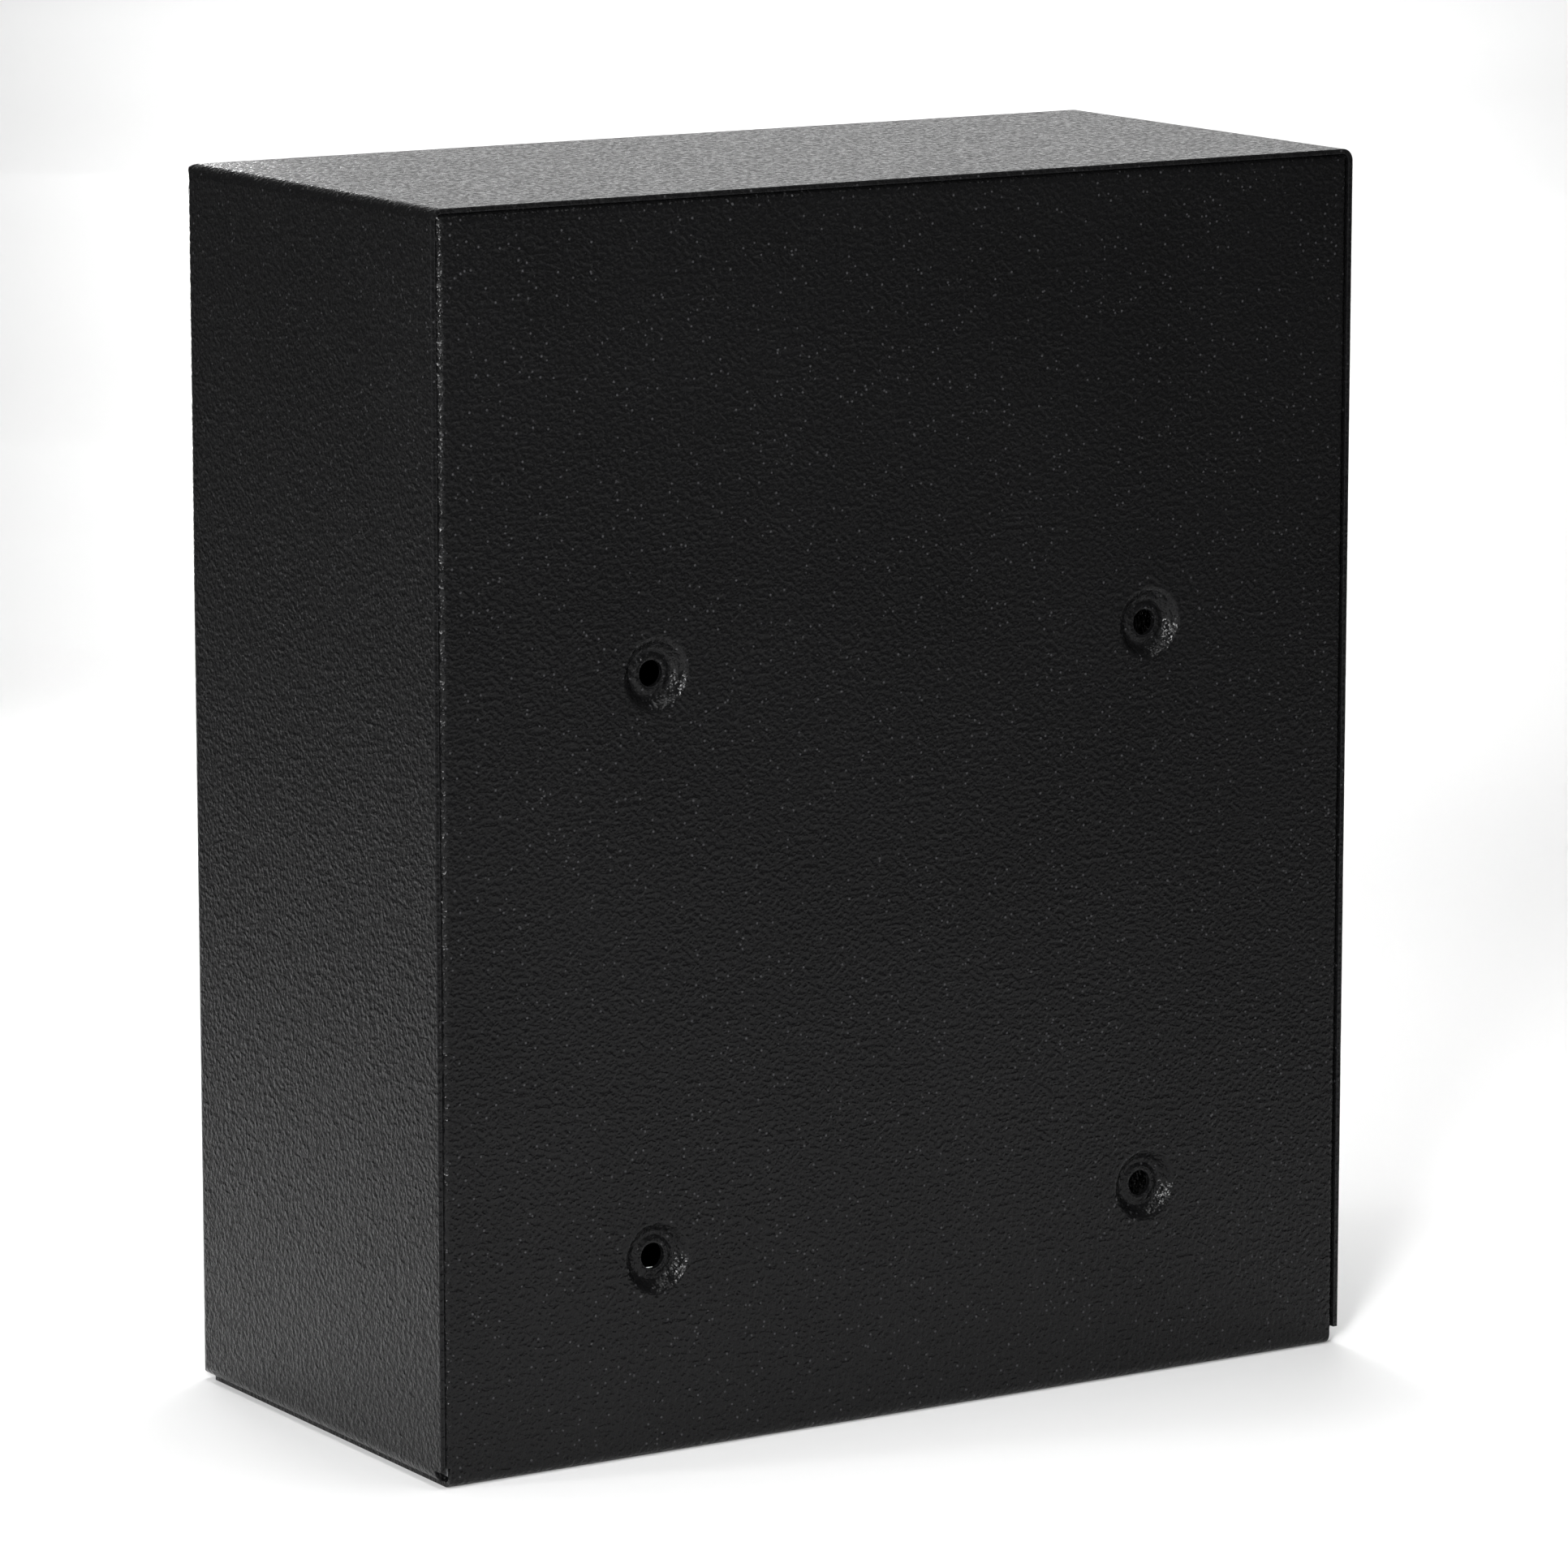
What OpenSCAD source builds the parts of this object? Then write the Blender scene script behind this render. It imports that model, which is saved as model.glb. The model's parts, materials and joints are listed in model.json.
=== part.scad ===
// Steel wall safe: a folded sheet cabinet that screws to a wall through four recessed holes in its back,
// and an inset door with a keypad, a turn knob, an override key lock and two round sliding bolts.
// X runs across the safe, to the right as you face the door. Y runs from the door to the wall. Z is up.
// The origin is on the wall face of the back panel, in the middle of the four wall holes.
// The door is closed and its bolts are withdrawn.

/* [Cabinet] */
// Outside width
cab_w = 258; // [250:1:290]
// Outside height
cab_h = 300; // [296:1:330]
// Depth from the wall to the face of the door
cab_d = 120; // [116:1:150]
// Thickness of the cabinet's sheet steel
sheet = 1.2; // [1.0:0.1:1.4]
// Outside radius of the cabinet's bends
bend_r = 3; // [2.4:0.2:3.4]
// Width of the front flange that frames the door
flange_w = 10; // [9:0.5:11]
// Gap between the door and its frame
door_gap = 2; // [1.8:0.1:2.4]

/* [Wall holes] */
// Distance from hole to hole, across and up
hole_gap = 139.7; // [130:0.1:145]
// Height of the lower holes above the underside
hole_rise = 48.15; // [44:0.05:54]
// Diameter of each hole
hole_d = 6.4; // [5:0.1:8]
// Diameter of the recess at the panel's face
dimple_d = 18; // [16:0.5:20]
// Diameter of the recess's floor
dimple_floor_d = 11; // [10:0.5:12]
// Depth of the recess
dimple_depth = 2.7; // [2:0.1:3]

/* [Door] */
// Thickness of the door plate
door_t = 3; // [2.5:0.5:3]
// Depth of the cover behind the door plate
cover_depth = 28; // [27:0.5:29]
// Distance from the door's hinge edge in to the hinge axis
hinge_in = 12; // [11.5:0.1:12.5]
// Distance from the door's face back to the hinge axis
hinge_back = 6; // [6:0.1:6.2]

/* [Locking bolts] */
// Diameter of each bolt
bolt_d = 12; // [11:0.5:12]
// Height of each bolt above and below the door's middle
bolt_rise = 64; // [60:1:66]
// Radius of the crank that throws the bolts
crank_r = 10; // [9.5:0.1:10]
// Angle that the knob turns through
knob_turn = 80; // [76:1:80]

/* [Keypad] */
// Width of the keypad housing
pad_w = 92; // [90:1:96]
// Height of the keypad housing
pad_h = 118; // [116:1:120]
// Distance from column to column
key_pitch_x = 22; // [21:0.5:23]
// Distance from row to row
key_pitch_z = 20; // [18.5:0.5:20.5]

/* [Hidden] */
$fn = 64;
eps = 0.01;

x_side = cab_w / 2;
z_base = -hole_gap / 2 - hole_rise;
z_top = z_base + cab_h;
y_front = -cab_d;

// Inner faces of the cabinet
x_in = x_side - sheet;
z_in_top = z_top - sheet;
z_floor = z_base + 2 * sheet;
return_w = 20;
back_flange = 14;
back_bend_r = 2.2;
corner_gap = 2;

// Door opening, the door in it and the door's middle
open_x = x_side - flange_w;
open_z0 = z_base + flange_w;
open_z1 = z_top - flange_w;
door_x = open_x - door_gap;
door_z0 = open_z0 + door_gap;
door_z1 = open_z1 - door_gap;
door_mid = (door_z0 + door_z1) / 2;
y_plate = y_front + door_t;

// Hinge axis
hinge_x = -door_x + hinge_in;
hinge_y = y_front + hinge_back;
hinge_pin_r = 2.5;
hinge_plate_t = 3;
bracket_foot = 3;
z_hinge_top = door_z1 + 4;
z_hinge_low = door_z0 - 4;

// Cover behind the door plate
cover_t = 1;
cover_x0 = hinge_x + 9;
cover_x1 = door_x - 6.8;
cover_z0 = door_z0 + 8;
cover_z1 = door_z1 - 8;
y_cover = y_front + door_t + cover_depth;
post_x0 = cover_x0 + 7;
post_x1 = cover_x1 - 14;
post_z0 = cover_z0 + 8;
post_z1 = cover_z1 - 10;

// Knob, crank and bolt carriage, with the bolts withdrawn
knob_x = 0;
knob_z = door_mid - 40;
knob_r = 22;
shaft_r = 4;
crank_pin_r = 2.5;
throw = 2 * crank_r * sin(knob_turn / 2);
pin_x = knob_x - crank_r * sin(knob_turn / 2);
pin_z = knob_z + crank_r * cos(knob_turn / 2);
slide_play = 0.3;
y_bolt = y_front + 11;
carriage_t = 2;
arm_x0 = knob_x - 14;
arm_z0 = knob_z - 24;
arm_z1 = knob_z + 42;
spine_x0 = knob_x + 74;
spine_x1 = spine_x0 + 16;
bolt_tip = door_x - 3.5;
bolt_zs = [door_mid - bolt_rise, door_mid + bolt_rise];
guide_x = [door_x - 13, door_x - 10];
guide_r = 3;
guide_spots = [for (x = [22, 60], z = [-16, 28]) [knob_x + x, knob_z + z]];

// Solenoid that holds the carriage
sol_x = knob_x + 48;
sol_y = y_bolt + 0.5;
sol_z0 = arm_z1 + 12;
sol_h = 38;
plunger_r = 4;
plunger_travel = 4;
plunger_gap = 0.5;
collar_rise = 4;
collar_t = 2;

// Key lock and its swinging cover
lock_x = 0;
lock_z = door_mid - 98;
lock_r = 9.3;
plug_r = 6;
flap_z = lock_z + 19;

// Keypad
pad_z = door_mid + 60;
pad_depth = 14;
pad_wall = 2;
pad_corner = 8;
y_pad = y_front - pad_depth;
key_size = [17, 13];
key_zs = [for (row = [0:3]) pad_z + 30 - row * key_pitch_z];
lens_z = pad_z + 47;
contact_z = pad_z - 48;
boss_x = pad_w / 2 - 6.5;
boss_z = pad_h / 2 - 8;
y_board = y_front - 5;

// Control board and the reset button on it
board_x = [-80, -20];
board_z = [pad_z - 22, pad_z + 22];
y_control = y_front + 20;
reset_x = -64;
reset_z = pad_z;
ribbon_x = -30;

// Battery tray
cell_d = 14.5;
cell_l = 50.5;
cell_pitch = 15.2;
tray_x = [-84, -20];
tray_z = [door_mid - 116, door_mid - 58];
tray_y = [y_front + 12.5, y_cover - cover_t - 0.2];

// Shelf and floor mat
shelf_z = door_mid - 2;
inside_y0 = y_cover + 5;
mat_t = 3;

KEYS = ["1", "2", "3", "4", "5", "6", "7", "8", "9", "star", "0", "hash"];

// ---- Shapes that several pieces share ----

// A box given by its ranges on the three axes
module block(x, y, z) {
    translate([x[0], y[0], z[0]])
        cube([x[1] - x[0], y[1] - y[0], z[1] - z[0]]);
}

// A round bar along Y, centred on (x, z), over the range y
module bar_y(x, z, y, r) {
    translate([x, y[1], z])
        rotate([90, 0, 0])
            cylinder(r = r, h = y[1] - y[0]);
}

// A round bar along X, centred on (y, z), over the range x
module bar_x(y, z, x, r) {
    translate([x[0], y, z])
        rotate([0, 90, 0])
            cylinder(r = r, h = x[1] - x[0]);
}

// A round bar along Z, centred on (x, y), over the range z
module bar_z(x, y, z, r) {
    translate([x, y, z[0]])
        cylinder(r = r, h = z[1] - z[0]);
}

// Raises an outline in (x, z) into a solid over the range y
module raise_y(y) {
    translate([0, y[1], 0])
        rotate([90, 0, 0])
            linear_extrude(y[1] - y[0])
                children();
}

// Raises an outline in (y, z) into a solid over the range x
module raise_x(x) {
    translate([x[0], 0, 0])
        rotate([90, 0, 90])
            linear_extrude(x[1] - x[0])
                children();
}

// A rectangle over the ranges a and b whose corners are rounded to r
module soft_rect(a, b, r) {
    translate([a[0] + r, b[0]])
        square([a[1] - a[0] - 2 * r, b[1] - b[0]]);
    translate([a[0], b[0] + r])
        square([a[1] - a[0], b[1] - b[0] - 2 * r]);
    for (p = a - [-r, r], q = b - [-r, r])
        translate([p, q])
            circle(r);
}

// A slot along X, from centre to centre of its round ends
module slot(x0, x1, z, r) {
    translate([x0, z - r])
        square([x1 - x0, 2 * r]);
    for (x = [x0, x1])
        translate([x, z])
            circle(r);
}

// A box over three ranges whose edges are all rounded but those at its +Y end, which is square
module soft_box(x, y, z, r) {
    far = y[1] + r + 1;
    intersection() {
        raise_y(y)
            soft_rect(x, z, r);
        translate([0, 0, z[0]])
            linear_extrude(z[1] - z[0])
                soft_rect(x, [y[0], far], r);
        raise_x(x)
            soft_rect([y[0], far], z, r);
    }
}

// A box whose edges are rounded but those at its -Y end
module rear_box(x, y, z, r) {
    mirror([0, 1, 0])
        soft_box(x, [-y[1], -y[0]], z, r);
}

// A pan-head screw whose head rests on y, with its shank towards -Y
module screw(x, z, y, head_r, shank_r, length) {
    head_h = head_r * 0.7;
    difference() {
        bar_y(x, z, [y, y + head_h], head_r);
        for (a = [0, 90])
            translate([x, y + head_h, z])
                rotate([0, a, 0])
                    cube([head_r * 1.2, head_h, head_r * 0.3], center = true);
    }
    bar_y(x, z, [y - length, y + eps], shank_r);
}

// A round wire through a list of points, whose straight runs cross a little at each bend
module wire(points, r) {
    last = len(points) - 2;
    for (i = [0:last]) {
        run = points[i + 1] - points[i];
        before = i == 0 ? 0 : r;
        after = i == last ? 0 : r;
        translate(points[i])
            rotate([0, acos(run.z / norm(run)), atan2(run.y, run.x)])
                translate([0, 0, -before])
                    cylinder(r = r, h = before + norm(run) + after, $fn = 24);
    }
}

// A coil spring on the Z axis, as a closed tube of flat-sided wire
module coil_spring(radius, wire_r, height, turns) {
    steps = 14 * turns;
    sides = 6;
    ring = [
        for (i = [0:steps], j = [0:sides - 1])
            let (a = 360 * turns * i / steps, b = 360 * j / sides, d = radius + wire_r * cos(b))
                [d * cos(a), d * sin(a), wire_r + (height - 2 * wire_r) * i / steps + wire_r * sin(b)]
    ];
    walls = [
        for (i = [0:steps - 1], j = [0:sides - 1])
            let (k = (j + 1) % sides)
                [i * sides + j, i * sides + k, (i + 1) * sides + k, (i + 1) * sides + j]
    ];
    first_end = [for (j = [0:sides - 1]) sides - 1 - j];
    last_end = [for (j = [0:sides - 1]) steps * sides + j];
    polyhedron(ring, concat(walls, [first_end, last_end]));
}

// ---- Cabinet ----

// Top, both sides and the flanges turned in from them, folded from one sheet
module cabinet_wrap() {
    x_outer = [-x_side, x_side];
    z_outer = [z_base + sheet, z_top];
    bottom_cut = x_in - return_w;
    color("#2b2b2d")
        difference() {
            soft_box(x_outer, [y_front, -0.2], z_outer, bend_r);
            soft_box([-x_in, x_in], [y_front + sheet, 1], [z_floor, z_in_top], bend_r - sheet);
            block([-open_x, open_x], [y_front - 1, y_front + 2 * sheet], [z_base, open_z1]);
            block([-bottom_cut, bottom_cut], [y_front - 1, 1], [z_base, z_floor + 1]);
            block([-x_side - 1, x_side + 1], [-back_bend_r - 1, 1], [z_base, z_base + sheet + bend_r]);
        }
}

// How far the recess's surface lies in front of the panel at radius r
function dimple_y(r) =
    let (outer = dimple_d / 2, inner = dimple_floor_d / 2)
    let (t = min(1, max(0, (outer - r) / (outer - inner))))
        -dimple_depth * t * t * (3 - 2 * t);

// Height of the raised lip around a wall hole at radius r
function lip_y(r) =
    let (t = (r - hole_d / 2) / 1.8)
        t < 1 ? 0.35 * sin(180 * (0.25 + 0.75 * t)) : 0;

// One recess pressed into the back panel, with its hole, on the Y axis
module dimple() {
    steps = 14;
    r0 = hole_d / 2;
    r1 = dimple_d / 2 + 1;
    radii = [for (i = [0:steps]) r0 + (r1 - r0) * i / steps];
    face = [for (r = radii) [r, dimple_y(r) + lip_y(r)]];
    rear = [for (i = [steps:-1:0]) [radii[i], dimple_y(radii[i]) - sheet]];
    rotate([-90, 0, 0])
        rotate_extrude()
            polygon(concat(face, rear));
}

// Back, floor and lower front flange, folded from one sheet
module back_panel() {
    spots = [for (x = [-0.5, 0.5], z = [-0.5, 0.5]) [x * hole_gap, z * hole_gap]];
    skin_x = x_in - 1.3;
    shoulder = z_base + sheet + bend_r + 0.8;
    fold_r = bend_r - 0.5;
    x = [-x_side, x_side];
    y = [y_front, 0];
    z = [z_base, z_top];
    flange_x = [-open_x + 0.2, open_x - 0.2];
    color("#232325")
        union() {
            difference() {
                union() {
                    // Back with its side and top flanges turned towards the front
                    intersection() {
                        difference() {
                            back_form(0);
                            back_form(sheet);
                        }
                        block(x, [-back_flange, 0], [shoulder, z_top]);
                    }
                    // Floor, with a bend up to the back and another to the front flange
                    intersection() {
                        raise_x([-skin_x, skin_x])
                            difference() {
                                soft_rect(y, z, fold_r);
                                soft_rect(y + [sheet, -sheet], z + [sheet, -sheet], fold_r - sheet);
                            }
                        union() {
                            block(x, [y_front / 2, 0], [z_base, shoulder + eps]);
                            block(x, [y_front + bend_r, y_front / 2 + eps], [z_base, z_base + 5]);
                            block(flange_x, [y_front, y_front + bend_r + eps], [z_base, open_z0]);
                        }
                    }
                }
                for (s = spots)
                    bar_y(s.x, s.y, [-back_flange, 1], dimple_d / 2 + 1 - eps);
            }
            for (s = spots)
                translate([s.x, 0, s.y])
                    dimple();
        }
}

// Outer form of the back panel and its flanges, drawn in by inset
module back_form(inset) {
    rear_box(
        [-x_in + inset, x_in - inset],
        [-cab_d, -inset],
        [z_base - 10, z_in_top - inset],
        back_bend_r - inset
    );
}

// Plate with the running hole for one hinge pin, welded inside the cabinet by an upright leg
module hinge_plate(z, leg_z) {
    x = [-x_in + corner_gap, hinge_x + 12];
    color("#3a3a3c")
        difference() {
            union() {
                block(x, [y_front + sheet, hinge_y + 11], z);
                block(x, [hinge_y + 8, hinge_y + 11], leg_z);
            }
            bar_z(hinge_x, hinge_y, [z[0] - 1, z[1] + 1], hinge_pin_r + 0.05);
        }
}

module upper_hinge_plate() {
    hinge_plate([z_hinge_top, z_hinge_top + hinge_plate_t], [z_hinge_top, z_in_top]);
}

module lower_hinge_plate() {
    hinge_plate([z_hinge_low - hinge_plate_t, z_hinge_low], [z_floor, z_hinge_low]);
}

// Bar behind the frame's flange that the bolts slide behind
module strike_plate() {
    y = y_front + sheet;
    color("#3a3a3c")
        block([open_x + 0.3, x_in - corner_gap], [y, y + 3], [door_mid - 90, door_mid + 90]);
}

// Shelf with its front edge turned down
module shelf() {
    color("#2f2f31") {
        block([-x_in + corner_gap, x_in - corner_gap], [inside_y0, -5], [shelf_z, shelf_z + sheet]);
        block([-x_in + 12, x_in - 12], [inside_y0, inside_y0 + sheet], [shelf_z - 9, shelf_z + eps]);
    }
}

// The two angles that the shelf rests on
module shelf_rails() {
    color("#3a3a3c")
        for (side = [0, 1])
            mirror([side, 0, 0]) {
                block([x_in - 10, x_in], [inside_y0 + 2, -15], [shelf_z - sheet, shelf_z]);
                block([x_in - sheet, x_in], [inside_y0 + 2, -15], [shelf_z - 10, shelf_z - sheet + eps]);
            }
}

// Felt mat on the floor
module floor_mat() {
    color("#4a4a4c")
        block([-x_in + corner_gap, x_in - corner_gap], [inside_y0 - 2, -2], [z_floor, z_floor + mat_t]);
}

// ---- Door ----

// Door plate with its holes
module door_panel() {
    round_r = 1.2;
    color("#29292b")
        difference() {
            soft_box([-door_x, door_x], [y_front, y_plate], [door_z0, door_z1], round_r);
            bar_y(knob_x, knob_z, [y_front - 1, y_plate + 1], 6);
            bar_y(lock_x, lock_z, [y_front - 1, y_plate + 1], lock_r);
            bar_y(lock_x, flap_z, [y_front - 1, y_plate + 1], 2);
            bar_y(ribbon_x, pad_z, [y_front - 1, y_plate + 1], 7);
            for (s = boss_spots())
                bar_y(s.x, s.y, [y_front - 1, y_plate + 1], 2);
        }
}

// Bracket welded behind the door plate, with an ear that grips one hinge pin
module hinge_bracket(ear_z, leaf_z) {
    x = [hinge_x - 7, hinge_x + 6];
    color("#3a3a3c")
        difference() {
            union() {
                block(x, [hinge_y - 0.5, hinge_y + 6], ear_z);
                block(x, [hinge_y + 4, hinge_y + 6], leaf_z);
                block(x, [y_plate, hinge_y + 6], leaf_foot(ear_z, leaf_z));
                block(x, [y_plate, hinge_y + 6], ear_z);
            }
            bar_z(hinge_x, hinge_y, [ear_z[0] - 1, ear_z[1] + 1], hinge_pin_r);
        }
}

// Heights of a bracket's second foot, at the end of the leaf that is away from the ear
function leaf_foot(ear_z, leaf_z) =
    let (low = ear_z[0] > leaf_z[0] ? leaf_z[0] : leaf_z[1] - bracket_foot)
        [low, low + bracket_foot];

module upper_hinge_bracket() {
    hinge_bracket([door_z1 - 12, door_z1 - 8], [door_z1 - 42, door_z1 - 8]);
}

module lower_hinge_bracket() {
    hinge_bracket([door_z0 + 8, door_z0 + 12], [door_z0 + 8, door_z0 + 42]);
}

// The two hinge pins, each held in its bracket by a collar
module hinge_pins() {
    color("silver") {
        bar_z(hinge_x, hinge_y, [door_z1 - 16, z_hinge_top + hinge_plate_t + 1], hinge_pin_r);
        bar_z(hinge_x, hinge_y, [z_hinge_low - hinge_plate_t - 1, door_z0 + 16], hinge_pin_r);
        for (z = [[door_z1 - 14, door_z1 - 12], [door_z0 + 12, door_z0 + 14]])
            bar_z(hinge_x, hinge_y, z, hinge_pin_r + 0.45);
    }
}

// Upright angle with the two bearing holes of the bolts
module bolt_guide() {
    z = [bolt_zs[0] - 12, bolt_zs[1] + 12];
    color("#8c8c90")
        difference() {
            union() {
                block(guide_x, [y_plate, y_bolt + 10], z);
                block([guide_x[0] - 10, guide_x[0] + eps], [y_plate, y_plate + 2], z);
            }
            for (bz = bolt_zs)
                bar_x(y_bolt, bz, [guide_x[0] - 1, guide_x[1] + 1], bolt_d / 2 + 0.08);
        }
}

// Shouldered posts that the carriage slides on
module guide_posts() {
    plate = [y_bolt - carriage_t / 2, y_bolt + carriage_t / 2];
    color("silver")
        for (s = guide_spots) {
            bar_y(s.x, s.y, [y_plate, plate[0] - slide_play], 5);
            bar_y(s.x, s.y, [plate[0] - slide_play - eps, plate[1] + slide_play + eps], guide_r);
            bar_y(s.x, s.y, [plate[1] + slide_play, plate[1] + slide_play + 1.2], 5);
        }
}

// Six-sided posts on the door plate: four for the cover and four for the control board
module threaded_posts() {
    color("#b9a46a") {
        for (s = cover_spots())
            hex_post(s, y_cover - cover_t, 3.5);
        for (s = board_spots())
            hex_post(s, y_control, 2.6);
    }
}

module hex_post(spot, y_end, r) {
    difference() {
        translate([spot.x, y_end, spot.y])
            rotate([90, 0, 0])
                cylinder(r = r, h = y_end - y_plate, $fn = 6);
        bar_y(spot.x, spot.y, [y_end - 8, y_end + 1], 1.25);
    }
}

function cover_spots() = [for (x = [post_x0, post_x1], z = [post_z0, post_z1]) [x, z]];
function board_spots() = [for (x = board_x + [4, -4], z = board_z + [4, -4]) [x, z]];
function boss_spots() = [for (x = [-boss_x, boss_x], z = [-boss_z, boss_z]) [x, pad_z + z]];

// Deep cover over the mechanism, behind the door plate
module door_back_cover() {
    bolt_hole_r = bolt_d / 2 + 0.6;
    color("#2f2f31")
        difference() {
            rear_box([cover_x0, cover_x1], [y_plate, y_cover], [cover_z0, cover_z1], 2.5);
            rear_box(
                [cover_x0 + cover_t, cover_x1 - cover_t],
                [y_plate - 1, y_cover - cover_t],
                [cover_z0 + cover_t, cover_z1 - cover_t],
                1.5
            );
            for (bz = bolt_zs)
                bar_x(y_bolt, bz, [cover_x1 - 5, cover_x1 + 1], bolt_hole_r);
            for (s = cover_spots())
                bar_y(s.x, s.y, [y_cover - 3, y_cover + 1], 1.5);
            bar_y(reset_x, reset_z, [y_cover - 3, y_cover + 1], 4.4);
            block(tray_x + [3, -3], [y_cover - 3, y_cover + 1], tray_z + [3, -3]);
        }
}

module cover_screws() {
    color("silver")
        for (s = cover_spots())
            screw(s.x, s.y, y_cover, 3, 1.25, 7);
}

// ---- Knob and bolts ----

// Turn knob: a round skirt with a grip across it
module knob() {
    y_face = y_front - 0.4;
    grip_x = 15.5;
    grip_r = 5.5;
    skirt = [[0, 0], [knob_r, 0], [knob_r, 3.2], [knob_r - 1, 5], [knob_r - 5, 6.6], [0, 7]];
    color("#1d1d1f")
        translate([knob_x, y_face, knob_z])
            difference() {
                union() {
                    rotate([90, 0, 0])
                        rotate_extrude()
                            polygon(skirt);
                    raise_y([-24, -3])
                        rotate(90)
                            slot(-grip_x, grip_x, 0, grip_r);
                }
                rotate([90, 0, 0])
                    translate([0, 0, -1])
                        cylinder(r = shaft_r, h = 17);
            }
}

// Spindle from the knob through the door plate to the crank
module knob_shaft() {
    color("silver")
        bar_y(knob_x, knob_z, [y_front - 15.5, y_plate + 5], shaft_r);
}

// Flanged bearing that the spindle turns in
module shaft_bushing() {
    color("#e8e2d0")
        difference() {
            union() {
                bar_y(knob_x, knob_z, [y_front, y_plate + eps], 6);
                bar_y(knob_x, knob_z, [y_plate, y_plate + 1.5], 8);
            }
            bar_y(knob_x, knob_z, [y_front - 1, y_plate + 2], shaft_r + 0.06);
        }
}

// Crank on the inner end of the spindle
module crank_plate() {
    y = [y_plate + 2, y_plate + 5];
    color("#8c8c90")
        difference() {
            union() {
                bar_y(knob_x, knob_z, y, 8);
                bar_y(pin_x, pin_z, y, 5);
            }
            bar_y(knob_x, knob_z, [y[0] - 1, y[1] + 1], shaft_r);
            bar_y(pin_x, pin_z, [y[0] - 1, y[1] + 1], crank_pin_r);
        }
}

// Pin of the crank, which pushes the carriage
module crank_pin() {
    color("silver")
        bar_y(pin_x, pin_z, [y_plate + 2, y_bolt + carriage_t / 2 + 2], crank_pin_r);
}

// Flat plate that carries both bolts, with slots for its posts, the crank and the solenoid
module bolt_carriage() {
    half = crank_pin_r + slide_play;
    notch = plunger_r + slide_play;
    color("#a4a5a8")
        raise_y([y_bolt - carriage_t / 2, y_bolt + carriage_t / 2])
            difference() {
                union() {
                    translate([arm_x0, arm_z0])
                        square([spine_x1 - arm_x0, arm_z1 - arm_z0]);
                    translate([spine_x0, bolt_zs[0] - 14])
                        square([spine_x1 - spine_x0, bolt_zs[1] - bolt_zs[0] + 28]);
                }
                translate([pin_x, pin_z])
                    rotate(90)
                        slot(-0.2, crank_r - (pin_z - knob_z) + 0.2, 0, half);
                for (s = guide_spots)
                    slot(s.x - throw, s.x, s.y, guide_r + slide_play);
                for (x = [sol_x, sol_x - throw])
                    translate([x - notch, arm_z1 - plunger_travel - 0.2])
                        square([2 * notch, plunger_travel + 1]);
            }
}

// The two round bolts, each slotted over the edge of the carriage and welded to it
module locking_bolts() {
    nose = 1;
    x0 = spine_x0 + 4;
    slot_y = [y_bolt - carriage_t / 2, y_bolt + carriage_t / 2];
    color("#d8d8da")
        for (bz = bolt_zs)
            difference() {
                union() {
                    bar_x(y_bolt, bz, [x0, bolt_tip - nose], bolt_d / 2);
                    translate([bolt_tip - nose, y_bolt, bz])
                        rotate([0, 90, 0])
                            cylinder(r1 = bolt_d / 2, r2 = bolt_d / 2 - nose, h = nose);
                }
                block([x0 - 1, spine_x1 + 0.2], slot_y, [bz - bolt_d, bz + bolt_d]);
            }
}

// ---- Solenoid ----

// Open steel frame around the coil, on the back of the door plate
module solenoid_frame() {
    x = [sol_x - 13, sol_x + 13];
    y = [y_plate, sol_y + 8];
    z = [sol_z0, sol_z0 + sol_h];
    wall = 1.6;
    color("#9a9a9c")
        difference() {
            block(x, y, z);
            block([x[0] - 1, x[1] + 1], [y[0] + wall, y[1] + 1], [z[0] + wall, z[1] - wall]);
            bar_z(sol_x, sol_y, [z[0] - 1, z[0] + wall + 1], plunger_r + 0.3);
        }
}

// Wound coil on its bobbin
module solenoid_coil() {
    z = [sol_z0 + 1.6, sol_z0 + sol_h - 1.6];
    color("#8a4b2a")
        difference() {
            union() {
                bar_z(sol_x, sol_y, z, 6.2);
                for (end = [[z[0], z[0] + 1.5], [z[1] - 1.5, z[1]]])
                    bar_z(sol_x, sol_y, end, 6.8);
            }
            bar_z(sol_x, sol_y, [z[0] - 1, z[0] + 26], plunger_r + 0.08);
        }
}

// Plunger, drawn in clear of the carriage
module solenoid_plunger() {
    tip = arm_z1 + plunger_gap;
    color("silver")
        union() {
            bar_z(sol_x, sol_y, [tip, sol_z0 + 20], plunger_r);
            bar_z(sol_x, sol_y, [tip + collar_rise, tip + collar_rise + collar_t], 6);
        }
}

// Spring between the plunger's collar and the solenoid frame
module plunger_spring() {
    foot = arm_z1 + plunger_gap + collar_rise + collar_t;
    color("#c8c8ca")
        translate([sol_x, sol_y, foot])
            coil_spring(5.2, 0.4, sol_z0 - foot, 4);
}

// ---- Key lock ----

// Threaded lock body with its front flange
module lock_cylinder() {
    color("#c9c9cc")
        difference() {
            union() {
                bar_y(lock_x, lock_z, [y_front - 2, y_front], 11);
                bar_y(lock_x, lock_z, [y_front - eps, y_front + 21], lock_r);
            }
            bar_y(lock_x, lock_z, [y_front - 3, y_front + 22], plug_r + 0.06);
        }
}

// Six-sided nut that holds the lock from behind
module lock_nut() {
    color("#b9a46a")
        difference() {
            translate([lock_x, y_plate + 4, lock_z])
                rotate([90, 0, 0])
                    cylinder(r = 13, h = 4, $fn = 6);
            bar_y(lock_x, lock_z, [y_plate - 1, y_plate + 5], lock_r);
        }
}

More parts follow.
